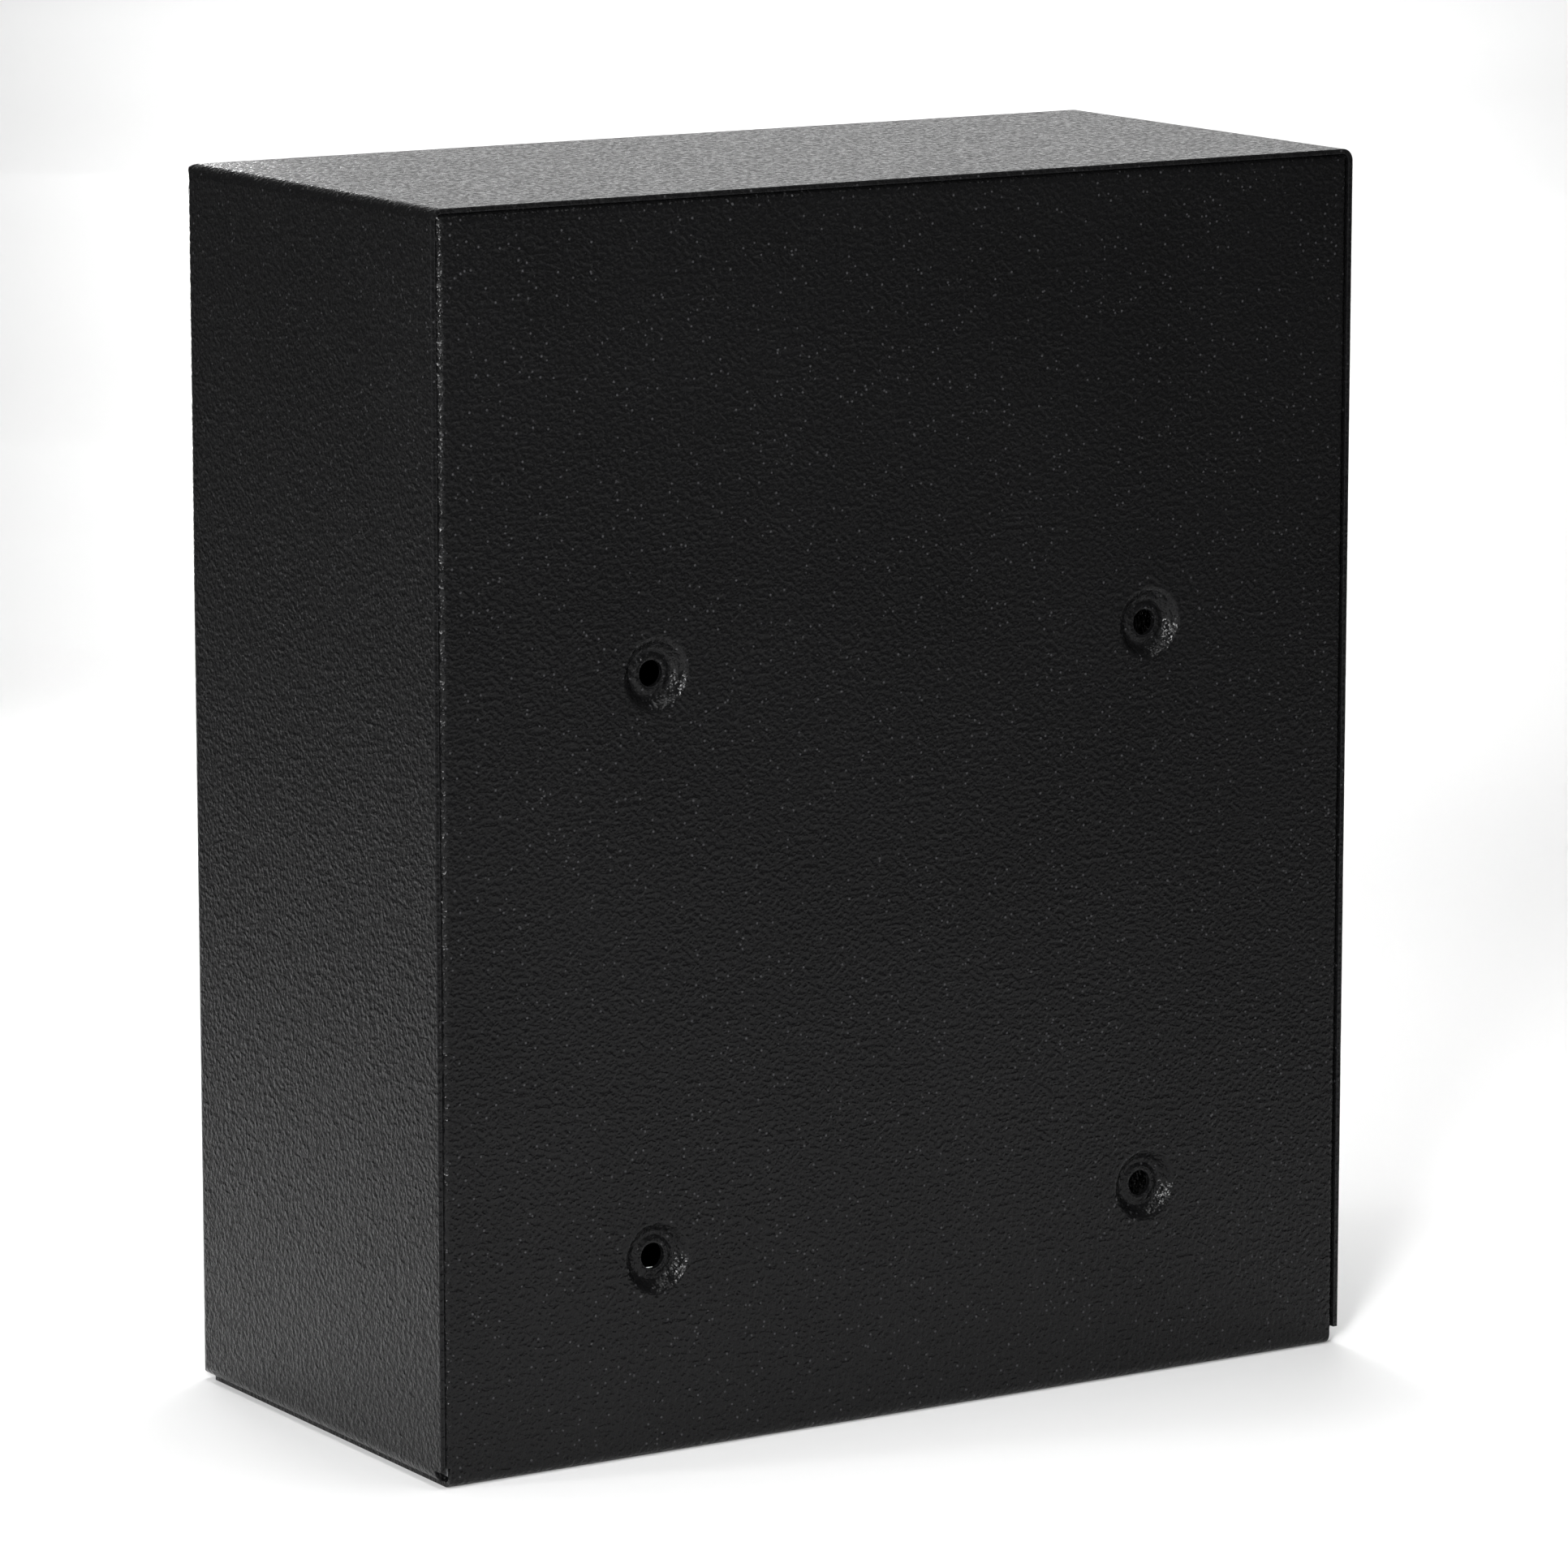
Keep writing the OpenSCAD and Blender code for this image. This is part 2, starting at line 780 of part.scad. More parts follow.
// Turning plug with the keyway in its face
module lock_plug() {
    y = [y_front - 2.2, y_front + 24];
    color("#a9aaad")
        difference() {
            bar_y(lock_x, lock_z, y, plug_r);
            block([lock_x - 1, lock_x + 1], [y[0] - 1, y[0] + 14], [lock_z - 4.5, lock_z + 3]);
            block([lock_x - 1.9, lock_x + 1.9], [y[0] - 1, y[0] + 14], [lock_z - 1, lock_z + 1]);
        }
}

// Cam on the plug's inner end, pointing to the bolt side
module lock_cam() {
    reach = 22;
    color("#8c8c90")
        raise_y([y_front + 21.5, y_front + 23.2])
            difference() {
                union() {
                    translate([lock_x, lock_z])
                        circle(8.5);
                    slot(lock_x, lock_x + reach, lock_z, 4.5);
                }
                translate([lock_x, lock_z])
                    circle(plug_r);
            }
}

// Drop-shaped flap that hides the keyhole
module keyhole_flap() {
    color("#1d1d1f")
        difference() {
            raise_y([y_front - 5, y_front - 2.6])
                union() {
                    translate([lock_x, lock_z])
                        circle(12.5);
                    translate([lock_x - 4.5, lock_z])
                        square([9, flap_z - lock_z]);
                    translate([lock_x, flap_z])
                        circle(4.5);
                }
            bar_y(lock_x, flap_z, [y_front - 6, y_front - 1], 2.08);
        }
}

// Shouldered rivet that the flap swings on
module flap_rivet() {
    color("silver") {
        bar_y(lock_x, flap_z, [y_front - 5.1, y_plate], 2);
        bar_y(lock_x, flap_z, [y_front - 2.4, y_front], 4);
        bar_y(lock_x, flap_z, [y_front - 6.2, y_front - 5.1 + eps], 3.4);
    }
}

// ---- Keypad ----

// Moulded housing with an opening for each key
module keypad_housing() {
    x = [-pad_w / 2, pad_w / 2];
    z = [pad_z - pad_h / 2, pad_z + pad_h / 2];
    play = 0.3;
    color("#19191b")
        difference() {
            union() {
                difference() {
                    pad_form(x, [y_pad, y_front], z, pad_corner);
                    pad_form(
                        x + [pad_wall, -pad_wall],
                        [y_pad + pad_wall, y_front + 1],
                        z + [pad_wall, -pad_wall],
                        pad_corner - pad_wall
                    );
                }
                for (s = boss_spots())
                    bar_y(s.x, s.y, [y_pad + pad_wall - eps, y_front], 3.5);
            }
            for (i = [0:11])
                key_prism(i, [y_pad - 1, y_pad + pad_wall + 1], play, 2);
            raise_y([y_pad - 1, y_pad + pad_wall + 1])
                slot(-10, 10, lens_z, 3);
            for (side = [-1, 1])
                bar_y(side * 7, contact_z, [y_pad - 1, y_pad + pad_wall + 1], 3);
            for (s = boss_spots())
                bar_y(s.x, s.y, [y_front - 9, y_front + 1], 1.4);
        }
}

// A box whose four upright edges are rounded
module pad_form(x, y, z, r) {
    raise_y(y)
        soft_rect(x, z, r);
}

// Middle of key number i, counted along the rows from the top left
function key_x(i) = (i % 3 - 1) * key_pitch_x;
function key_z(i) = key_zs[floor(i / 3)];

// Outline of one key over the range y, grown by grow
module key_prism(i, y, grow, r) {
    x = key_x(i) * [1, 1] + (key_size.x / 2 + grow) * [-1, 1];
    z = key_z(i) * [1, 1] + (key_size.y / 2 + grow) * [-1, 1];
    raise_y(y)
        soft_rect(x, z, r);
}

// One key, with the rim behind the housing that keeps it in
module key(i) {
    y_rim = y_pad + pad_wall + 0.2;
    color("#3c3c40") {
        key_prism(i, [y_pad - 2, y_rim + 3], 0, 1.7);
        key_prism(i, [y_rim, y_rim + 1.2], 1, 2.7);
    }
}

// Circuit board behind the keys, with a switch under each key
module keypad_board() {
    color("#1f5b34") {
        block([-34, 34], [y_board, y_board + 1.6], [pad_z - 52, pad_z + 52]);
        for (i = [0:11])
            bar_y(key_x(i), key_z(i), [y_board - 0.6, y_board + eps], 3);
    }
}

// Clear window over the status lights
module status_lens() {
    color("#7a1f1f")
        raise_y([y_pad - 0.3, y_pad + pad_wall + 0.5])
            slot(-10, 10, lens_z, 3);
}

// Two contacts for an outside battery
module jump_contacts() {
    color("#d9c27a")
        for (side = [-1, 1])
            bar_y(side * 7, contact_z, [y_pad - 0.8, y_board], 3);
}

// Screws that hold the keypad from behind the door plate
module keypad_screws() {
    color("silver")
        for (s = boss_spots())
            screw(s.x, s.y, y_plate, 3.2, 1.4, door_t + 6);
}

// ---- Electronics inside the door ----

// Control board with its cable socket and the switch of the reset button
module control_board() {
    y = [y_control, y_control + 1.6];
    color("#1f5b34") {
        difference() {
            block(board_x, y, board_z);
            for (s = board_spots())
                bar_y(s.x, s.y, [y[0] - 1, y[1] + 1], 1.3);
        }
        block([ribbon_x - 2.5, ribbon_x + 2.5], [y_control - 4, y_control + eps], [pad_z - 6, pad_z + 6]);
        block([reset_x - 3, reset_x + 3], [y[1] - eps, y[1] + 1.6], [reset_z - 3, reset_z + 3]);
    }
}

// Small screws of the control board
module inner_screws() {
    color("silver")
        for (s = board_spots())
            screw(s.x, s.y, y_control + 1.6, 2.3, 1.25, 7);
}

// Flat cable from the keypad board to the control board, with a slack bend in it
module ribbon_cable() {
    y = [y_board + 1.6, y_control - 4];
    t = 0.8;
    mid = (y[0] + y[1]) / 2;
    bow = 3;
    steps = 12;
    path = [
        for (i = [0:steps])
            let (u = i / steps)
                [ribbon_x + bow * sin(180 * u), y[0] + (y[1] - y[0]) * u]
    ];
    back = [for (i = [steps:-1:0]) path[i] + [t, 0]];
    color("#8f8f93")
        translate([-t / 2, 0, pad_z - 5])
            linear_extrude(10)
                polygon(concat(path, back));
}

// Leads from the battery tray and from the solenoid to the control board
module lead_wires() {
    y = y_front + 14;
    wire_r = 0.9;
    color("#a02020")
        for (n = [0, 1]) {
            x = board_x[0] + 16 + 4 * n;
            wire([
                [x, y, tray_z[1]],
                [x, y, board_z[0] - 8],
                [x, y_control + 0.8, board_z[0] - 2 - 2 * wire_r],
                [x, y_control + 0.8, board_z[0]]
            ], wire_r);
            z = board_z[1] - 8 - 4 * n;
            wire([
                [sol_x - 4 * n, sol_y, sol_z0 + sol_h],
                [sol_x - 4 * n, sol_y, z],
                [board_x[1] + 8, sol_y, z],
                [board_x[1] + 3, y_control + 0.8, z],
                [board_x[1], y_control + 0.8, z]
            ], wire_r);
        }
}

// Button that lets a new code be set, through a hole in the door cover
module reset_button() {
    y0 = y_control + 1.6 + 1.6 + 1.2;
    color("#a81c1c") {
        bar_y(reset_x, reset_z, [y0, y_cover + 1.5], 4);
        bar_y(reset_x, reset_z, [y0, y0 + 1.4], 5.2);
    }
}

// ---- Batteries ----

// Open tray for four cells, let into the door cover
module battery_tray() {
    color("#1d1d1f")
        difference() {
            block(tray_x, tray_y, tray_z);
            block(tray_x + [1.2, -1.2], [tray_y[0] + 1.2, tray_y[1] + 1], tray_z + [1.2, -1.2]);
        }
}

// The four cells, side by side
module batteries() {
    mid_x = (tray_x[0] + tray_x[1]) / 2;
    z0 = tray_z[0] + 2.6;
    y = tray_y[0] + 1.2 + cell_d / 2 + 0.05;
    tip_l = 1.2;
    tip_r = 2.75;
    color("#b88a3a")
        for (n = [0:3])
            translate([mid_x + (n - 1.5) * cell_pitch, y, 0]) {
                bar_z(0, 0, [z0, z0 + cell_l - tip_l], cell_d / 2);
                bar_z(0, 0, [z0 + cell_l - tip_l - eps, z0 + cell_l], tip_r);
            }
}

// Lift-off lid of the battery tray, with two legs that locate it in the opening
module battery_cover() {
    legs = [tray_x[0] + 4, tray_x[1] - 4];
    color("#1d1d1f") {
        block(tray_x + [-1, 1], [y_cover + 0.2, y_cover + 2], tray_z + [-1, 1]);
        for (x = [[legs[0], legs[0] + 1.2], [legs[1] - 1.2, legs[1]]])
            block(x, [y_cover - cover_t, y_cover + 0.2 + eps], [tray_z[0] + 20, tray_z[1] - 20]);
    }
}

cabinet_wrap();
back_panel();
upper_hinge_plate();
lower_hinge_plate();
strike_plate();
shelf();
shelf_rails();
floor_mat();
door_panel();
upper_hinge_bracket();
lower_hinge_bracket();
hinge_pins();
bolt_guide();
guide_posts();
threaded_posts();
door_back_cover();
cover_screws();
knob();
knob_shaft();
shaft_bushing();
crank_plate();
crank_pin();
bolt_carriage();
locking_bolts();
solenoid_frame();
solenoid_coil();
solenoid_plunger();
plunger_spring();
lock_cylinder();
lock_nut();
lock_plug();
lock_cam();
keyhole_flap();
flap_rivet();
keypad_housing();
keypad_board();
status_lens();
jump_contacts();
keypad_screws();
control_board();
inner_screws();
ribbon_cable();
lead_wires();
reset_button();
battery_tray();
batteries();
battery_cover();
for (i = [0:11]) key(i);
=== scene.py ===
"""Looks of a steel wall safe: powder coat, fittings, keypad and inside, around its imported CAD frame."""

import json
import math
import random

import bmesh
import bpy
from mathutils import Matrix, Vector


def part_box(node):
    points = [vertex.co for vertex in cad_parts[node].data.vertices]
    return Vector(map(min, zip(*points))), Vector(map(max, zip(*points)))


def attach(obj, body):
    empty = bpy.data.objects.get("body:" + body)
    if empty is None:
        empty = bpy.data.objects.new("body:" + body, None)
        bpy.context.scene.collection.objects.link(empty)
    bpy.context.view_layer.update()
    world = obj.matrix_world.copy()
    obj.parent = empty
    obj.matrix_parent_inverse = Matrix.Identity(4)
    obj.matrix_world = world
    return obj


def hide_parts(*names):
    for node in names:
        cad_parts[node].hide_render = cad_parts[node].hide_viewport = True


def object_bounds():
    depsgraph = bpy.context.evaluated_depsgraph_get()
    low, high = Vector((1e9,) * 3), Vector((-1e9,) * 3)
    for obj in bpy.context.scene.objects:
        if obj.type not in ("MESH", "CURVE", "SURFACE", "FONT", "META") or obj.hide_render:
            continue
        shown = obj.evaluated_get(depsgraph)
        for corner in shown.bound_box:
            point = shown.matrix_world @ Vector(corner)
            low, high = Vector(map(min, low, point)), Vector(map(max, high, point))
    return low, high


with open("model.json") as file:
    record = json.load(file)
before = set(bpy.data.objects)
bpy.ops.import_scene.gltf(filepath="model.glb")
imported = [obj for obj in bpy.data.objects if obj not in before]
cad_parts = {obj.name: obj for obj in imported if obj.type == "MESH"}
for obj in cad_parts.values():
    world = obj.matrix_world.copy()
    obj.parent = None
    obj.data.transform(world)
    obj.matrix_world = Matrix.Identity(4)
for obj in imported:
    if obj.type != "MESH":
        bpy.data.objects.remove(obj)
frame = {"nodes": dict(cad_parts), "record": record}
cad_low, cad_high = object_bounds()
random.seed(7)

MM = 0.001
KEY_LEGENDS = {"star": "*", "hash": "#"}
KEYS = ["1", "2", "3", "4", "5", "6", "7", "8", "9", "star", "0", "hash"]


# ---- Camera, floor and light ----

CAMERA_AZIMUTH = 147.97
CAMERA_ELEVATION = 10.51
CAMERA_DISTANCE = 1.8427
CAMERA_SLIDE = (29.4 * MM, -36.5 * MM)
CAMERA_LENS = 176.8


def direction(azimuth, elevation):
    """Unit vector from the safe towards a viewer. Azimuth 0 faces the door and 180 faces the back."""
    a, e = math.radians(azimuth), math.radians(elevation)
    return Vector((math.sin(a) * math.cos(e), -math.cos(a) * math.cos(e), math.sin(e)))


def make_camera():
    """A long lens behind the safe, a little above it. The slide centres the safe in the frame."""
    back = direction(CAMERA_AZIMUTH, CAMERA_ELEVATION)
    right = direction(CAMERA_AZIMUTH + 90, 0)
    up = back.cross(right)
    data = bpy.data.cameras.new("camera")
    data.lens = CAMERA_LENS
    data.clip_end = 40
    camera = bpy.data.objects.new("camera", data)
    bpy.context.collection.objects.link(camera)
    place = back * CAMERA_DISTANCE - right * CAMERA_SLIDE[0] - up * CAMERA_SLIDE[1]
    turn = Matrix((right, up, back)).transposed()
    camera.matrix_world = Matrix.Translation(place) @ turn.to_4x4()
    bpy.context.scene.camera = camera


def area_light(name, place, aim, size, watts, spread=180):
    """A soft rectangular lamp at place, facing aim. Its second size is its height."""
    data = bpy.data.lights.new(name, "AREA")
    data.shape = "RECTANGLE"
    data.size, data.size_y = size
    data.energy = watts
    data.spread = math.radians(spread)
    lamp = bpy.data.objects.new(name, data)
    lamp.location = place
    lamp.rotation_euler = (Vector(place) - Vector(aim)).to_track_quat("Z", "Y").to_euler()
    lamp.visible_camera = False
    bpy.context.collection.objects.link(lamp)


def make_floor():
    """A wide pale floor under the safe."""
    half = 30
    mesh = bpy.data.meshes.new("floor")
    corners = [(-half, -half), (half, -half), (half, half), (-half, half)]
    mesh.from_pydata([(x, y, cad_low.z) for x, y in corners], [], [(0, 1, 2, 3)])
    floor = bpy.data.objects.new("floor", mesh)
    bpy.context.collection.objects.link(floor)
    g = Graph("floor_white", (0.86, 0.86, 0.86), 0.9)
    g.rough(g.span(g.noise(3), 0.3, 0.7, 0.85, 0.95))
    mesh.materials.append(g.material)


def make_world(towards):
    """A dim sky that brightens around one direction."""
    world = bpy.data.worlds.new("studio")
    world.use_nodes = True
    nodes, links = world.node_tree.nodes, world.node_tree.links
    sky = nodes["Background"]
    way = nodes.new("ShaderNodeTexCoord").outputs["Generated"]
    dot = nodes.new("ShaderNodeVectorMath")
    dot.operation = "DOT_PRODUCT"
    links.new(way, dot.inputs[0])
    dot.inputs[1].default_value = towards
    ramp = nodes.new("ShaderNodeMapRange")
    links.new(dot.outputs["Value"], ramp.inputs["Value"])
    for socket, value in {"From Min": 0.88, "From Max": 1.0, "To Min": 0.05, "To Max": 1.18}.items():
        ramp.inputs[socket].default_value = value
    links.new(ramp.outputs[0], sky.inputs["Strength"])
    sky.inputs["Color"].default_value = (1, 1, 1, 1)
    bpy.context.scene.world = world


def hanging_light(name, spot, height, width, watts, spread):
    """A square lamp straight above a spot on the floor."""
    area_light(name, spot + Vector((0, 0, height)), spot, (width, width), watts, spread)


def tall_light(name, azimuth, height, size, watts):
    """An upright strip lamp, seen as glints on bends and in the recesses."""
    distance, aim = 1.2, (0, 0, 0.2)
    area_light(name, direction(azimuth, 0) * distance + Vector((0, 0, height)), aim, size, watts)


def make_light():
    """A pool of light under the safe, a row of lamps past it, three strips, and one lamp on the door."""
    behind = direction(CAMERA_AZIMUTH + 180, 0)
    make_world(behind)
    bpy.context.scene.view_settings.view_transform = "Standard"

    hanging_light("pool", behind * -0.08, 0.8, 0.6, 1.4, 76)
    for step in range(8):
        spot = behind * (0.5 + 0.6 * step)
        hanging_light("backdrop", spot, 1.1, 0.35 + 0.17 * step, 1.5 + 0.7 * step, 62)
    tall_light("glint", 138, 0.45, (0.18, 0.6), 20)
    tall_light("bend", 170, 0.45, (0.04, 0.6), 1.2)
    tall_light("rim", 76, 0.4, (0.12, 0.9), 4)
    door = Vector((0, cad_low.y, 0))
    area_light("door", door + direction(350, 8), door, (0.4, 0.4), 0.7, 60)


# ---- Materials ----


class Graph:
    """One material's nodes, built around a Principled shader."""

    def __init__(self, name, base, roughness, metallic=0.0, **sockets):
        self.material = bpy.data.materials.new(name)
        self.material.use_nodes = True
        self.nodes = self.material.node_tree.nodes
        self.links = self.material.node_tree.links
        self.shader = self.nodes["Principled BSDF"]
        self.shader.inputs["Base Color"].default_value = (*base, 1)
        self.shader.inputs["Roughness"].default_value = roughness
        self.shader.inputs["Metallic"].default_value = metallic
        for key, value in sockets.items():
            self.shader.inputs[key.replace("_", " ")].default_value = value
        self.place = self.node("ShaderNodeTexCoord").outputs["Object"]
        self.normal = None

    def node(self, kind, inputs=None, **settings):
        """A new node. An input is a number, a colour or another node's output."""
        made = self.nodes.new(kind)
        for key, value in settings.items():
            setattr(made, key, value)
        for socket, value in (inputs or {}).items():
            if isinstance(value, bpy.types.NodeSocket):
                self.links.new(value, made.inputs[socket])
            else:
                made.inputs[socket].default_value = value
        return made

    def spread(self, stretch):
        """The object's own coordinates, scaled on each axis."""
        return self.node("ShaderNodeMapping", {"Vector": self.place, "Scale": stretch}).outputs[0]

    def noise(self, scale, detail=2.0, roughness=0.5, stretch=(1, 1, 1)):
        """Noise around 0.5, with features about 1 / scale metres wide."""
        inputs = {"Vector": self.spread(stretch), "Scale": scale, "Detail": detail, "Roughness": roughness}
        return self.node("ShaderNodeTexNoise", inputs).outputs[0]

    def bands(self, scale, axis):
        """Even waves along one axis, 2 pi / 20 / scale metres long."""
        inputs = {"Vector": self.place, "Scale": scale}
        return self.node("ShaderNodeTexWave", inputs, bands_direction=axis).outputs["Fac"]

    def cells(self, scale, stretch=(1, 1, 1)):
        """Distance to the nearest of scattered points."""
        inputs = {"Vector": self.spread(stretch), "Scale": scale}
        return self.node("ShaderNodeTexVoronoi", inputs).outputs[0]

    def span(self, value, low, high, to_low, to_high):
        """Maps low to high onto to_low to to_high, held within them."""
        inputs = {"Value": value, "From Min": low, "From Max": high, "To Min": to_low, "To Max": to_high}
        return self.node("ShaderNodeMapRange", inputs).outputs[0]

    def tint(self, factor, colour_a, colour_b):
        """A colour between two others."""
        inputs = {0: factor, 6: colour_a, 7: colour_b}
        return self.node("ShaderNodeMix", inputs, data_type="RGBA").outputs[2]

    def bump(self, height, distance):
        """Adds a layer of relief, distance metres deep."""
        inputs = {"Height": height, "Distance": distance}
        if self.normal:
            inputs["Normal"] = self.normal
        self.normal = self.node("ShaderNodeBump", inputs).outputs[0]
        self.links.new(self.normal, self.shader.inputs["Normal"])

    def edge(self, radius):
        """1 along edges and 0 on flat faces."""
        soft = self.node("ShaderNodeBevel", {"Radius": radius}, samples=4).outputs[0]
        true = self.node("ShaderNodeNewGeometry").outputs["Normal"]
        inputs = {0: soft, 1: true}
        dot = self.node("ShaderNodeVectorMath", inputs, operation="DOT_PRODUCT").outputs["Value"]
        return self.span(dot, 0.99, 0.85, 0.0, 1.0)

    def colour(self, value):
        """Sets the colour of the surface."""
        self.links.new(value, self.shader.inputs["Base Color"])

    def rough(self, value):
        """Sets how matt the surface is."""
        self.links.new(value, self.shader.inputs["Roughness"])


def shade(colour, gain):
    """A colour made lighter or darker."""
    return (colour[0] * gain, colour[1] * gain, colour[2] * gain, 1)


def powder_coat(name, base, relief):
    """Powder coat: orange peel about 1 mm across, stray grains, pale specks that are painted glints, and
    edges painted paler, partly a painted highlight and partly rubbed wear.
    """
    g = Graph(name, base, 0.25, Specular_IOR_Level=0.16)
    cloud = g.noise(18, 3)
    peel = g.noise(850, 1.5, 0.5)
    grain = g.span(g.noise(2200, 1.0), 0.64, 0.74, 0, 1)
    body = g.tint(cloud, shade(base, 0.7), shade(base, 1.3))
    # Pale specks painted into the colour: painted glints, standing in for light catching on the coat's
    # grain.
    fleck_and_painted_glint = g.span(g.cells(420), 0.1, 0.15, 1, 0)
    body = g.tint(fleck_and_painted_glint, body, shade(base, 9))
    # Edges painted paler: partly a painted highlight like the glinting bends, partly rubbed wear.
    g.colour(g.tint(g.edge(0.7 * MM), body, shade(base, 3)))
    g.rough(g.span(peel, 0.35, 0.65, 0.34, 0.12))
    g.bump(peel, relief)
    g.bump(grain, relief * 0.7)
    return g.material


def satin_paint(name, base):
    """Thin black paint over plain steel, with rubbed edges and a few scuffs."""
    g = Graph(name, base, 0.4)
    scuff = g.span(g.noise(60, 6, 0.7, (1, 1, 4)), 0.62, 0.7, 0, 0.5)
    body = g.tint(scuff, shade(base, 1), shade(base, 3))
    g.colour(g.tint(g.edge(0.5 * MM), body, (0.2, 0.2, 0.2, 1)))
    g.rough(g.span(g.noise(40), 0.3, 0.7, 0.35, 0.5))
    g.bump(g.noise(700, 2), 0.06 * MM)
    return g.material


def plated(name, base, roughness, stretch=(1, 1, 1), warm=1.0):
    """Bare or plated metal: drawn scratches, cloudy plating and brighter edges."""
    g = Graph(name, base, roughness, 1.0)
    cloud = g.noise(70, 4, 0.6)
    lines = g.noise(500, 4, 0.6, stretch)
    other = (base[0] * 0.72 * warm, base[1] * 0.72, base[2] * 0.75 / warm, 1)
    body = g.tint(cloud, shade(base, 1), other)
    g.colour(g.tint(g.edge(0.35 * MM), body, shade(base, 1.25)))
    g.rough(g.span(lines, 0.3, 0.7, roughness * 0.7, roughness * 1.4))
    g.bump(lines, 0.015 * MM)
    return g.material


def plastic(name, base, roughness, grain=0.04 * MM):
    """Moulded plastic with a fine spark-eroded grain and polished edges."""
    g = Graph(name, base, roughness)
    cloud = g.noise(25, 3)
    body = g.tint(cloud, shade(base, 0.85), shade(base, 1.2))
    g.colour(g.tint(g.edge(0.5 * MM), body, shade(base, 1.9)))
    g.rough(g.span(g.noise(90, 4), 0.3, 0.7, roughness * 0.85, roughness * 1.15))
    g.bump(g.noise(1600, 2), grain)
    return g.material


def circuit_board(name, base):
    """Solder mask over copper tracks that run square to each other."""
    g = Graph(name, base, 0.3)
    across = g.span(g.bands(60, "X"), 0.75, 0.85, 0, 1)
    along = g.span(g.bands(45, "Z"), 0.75, 0.85, 0, 1)
    pick = g.span(g.noise(90), 0.49, 0.51, 0, 1)
    track = g.node("ShaderNodeMix", {0: pick, 2: across, 3: along}).outputs[0]
    g.colour(g.tint(track, shade(base, 0.7), shade(base, 1.7)))
    g.rough(g.span(g.noise(200), 0.3, 0.7, 0.25, 0.4))
    g.bump(track, 0.05 * MM)
    return g.material


def winding(name, base):
    """Turns of varnished copper wire."""
    g = Graph(name, base, 0.25)
    turns = g.bands(520, "Z")
    g.colour(g.tint(turns, shade(base, 0.35), shade(base, 1.3)))
    g.rough(g.span(g.noise(200), 0.3, 0.7, 0.2, 0.35))
    g.bump(turns, 0.2 * MM)
    return g.material


def ribbon(name, base):
    """Ribbed flat cable."""
    g = Graph(name, base, 0.5)
    ribs = g.bands(250, "Z")
    g.colour(g.tint(ribs, shade(base, 0.6), shade(base, 1.15)))
    g.rough(g.span(g.noise(300), 0.3, 0.7, 0.4, 0.6))
    g.bump(ribs, 0.3 * MM)
    return g.material


def felt(name, base):
    """Pressed wool: matted fibres in every direction, a soft sheen and a few pale flecks."""
    g = Graph(name, base, 0.95, Sheen_Weight=0.35, Sheen_Roughness=0.5)
    strands = g.noise(700, 5, 0.75, (1, 0.35, 1))
    cross = g.noise(650, 5, 0.75, (0.35, 1, 1))
    mat = g.node("ShaderNodeMath", {0: strands, 1: cross}, operation="MULTIPLY").outputs[0]
    body = g.tint(g.span(mat, 0.12, 0.4, 0, 1), shade(base, 0.45), shade(base, 1.8))
    fleck_and_painted_glint = g.span(g.cells(420, (1, 0.4, 1)), 0.1, 0.16, 1, 0)
    g.colour(g.tint(fleck_and_painted_glint, body, shade(base, 4)))
    g.rough(g.span(mat, 0.12, 0.4, 0.85, 1.0))
    g.bump(mat, 0.9 * MM)
    return g.material


def cell_sleeve(name, base):
    """Plain two-tone battery sleeve: copper at one end, dark on the rest."""
    g = Graph(name, base, 0.25)
    height = g.node("ShaderNodeSeparateXYZ", {0: g.place}).outputs["Z"]
    low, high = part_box("batteries")
    split = low.z + (high.z - low.z) * 0.72
    band = g.span(height, split, split + 0.2 * MM, 0, 1)
    dark = g.tint(g.noise(60), shade(base, 0.8), shade(base, 1.3))
    g.colour(g.tint(band, dark, (0.5, 0.22, 0.07, 1)))
    g.rough(g.span(g.noise(120), 0.3, 0.7, 0.2, 0.32))
    g.bump(g.noise(300), 0.02 * MM)
    return g.material


def smoked_lens(name, base):
    """Dark red window, clear enough to show the lamps behind it."""
    g = Graph(name, base, 0.08, Transmission_Weight=0.85, IOR=1.49)
    g.colour(g.tint(g.noise(40), (0.35, 0.03, 0.03, 1), (0.45, 0.05, 0.05, 1)))
    g.rough(g.span(g.noise(300), 0.3, 0.7, 0.05, 0.12))
    g.bump(g.noise(400), 0.01 * MM)
    return g.material


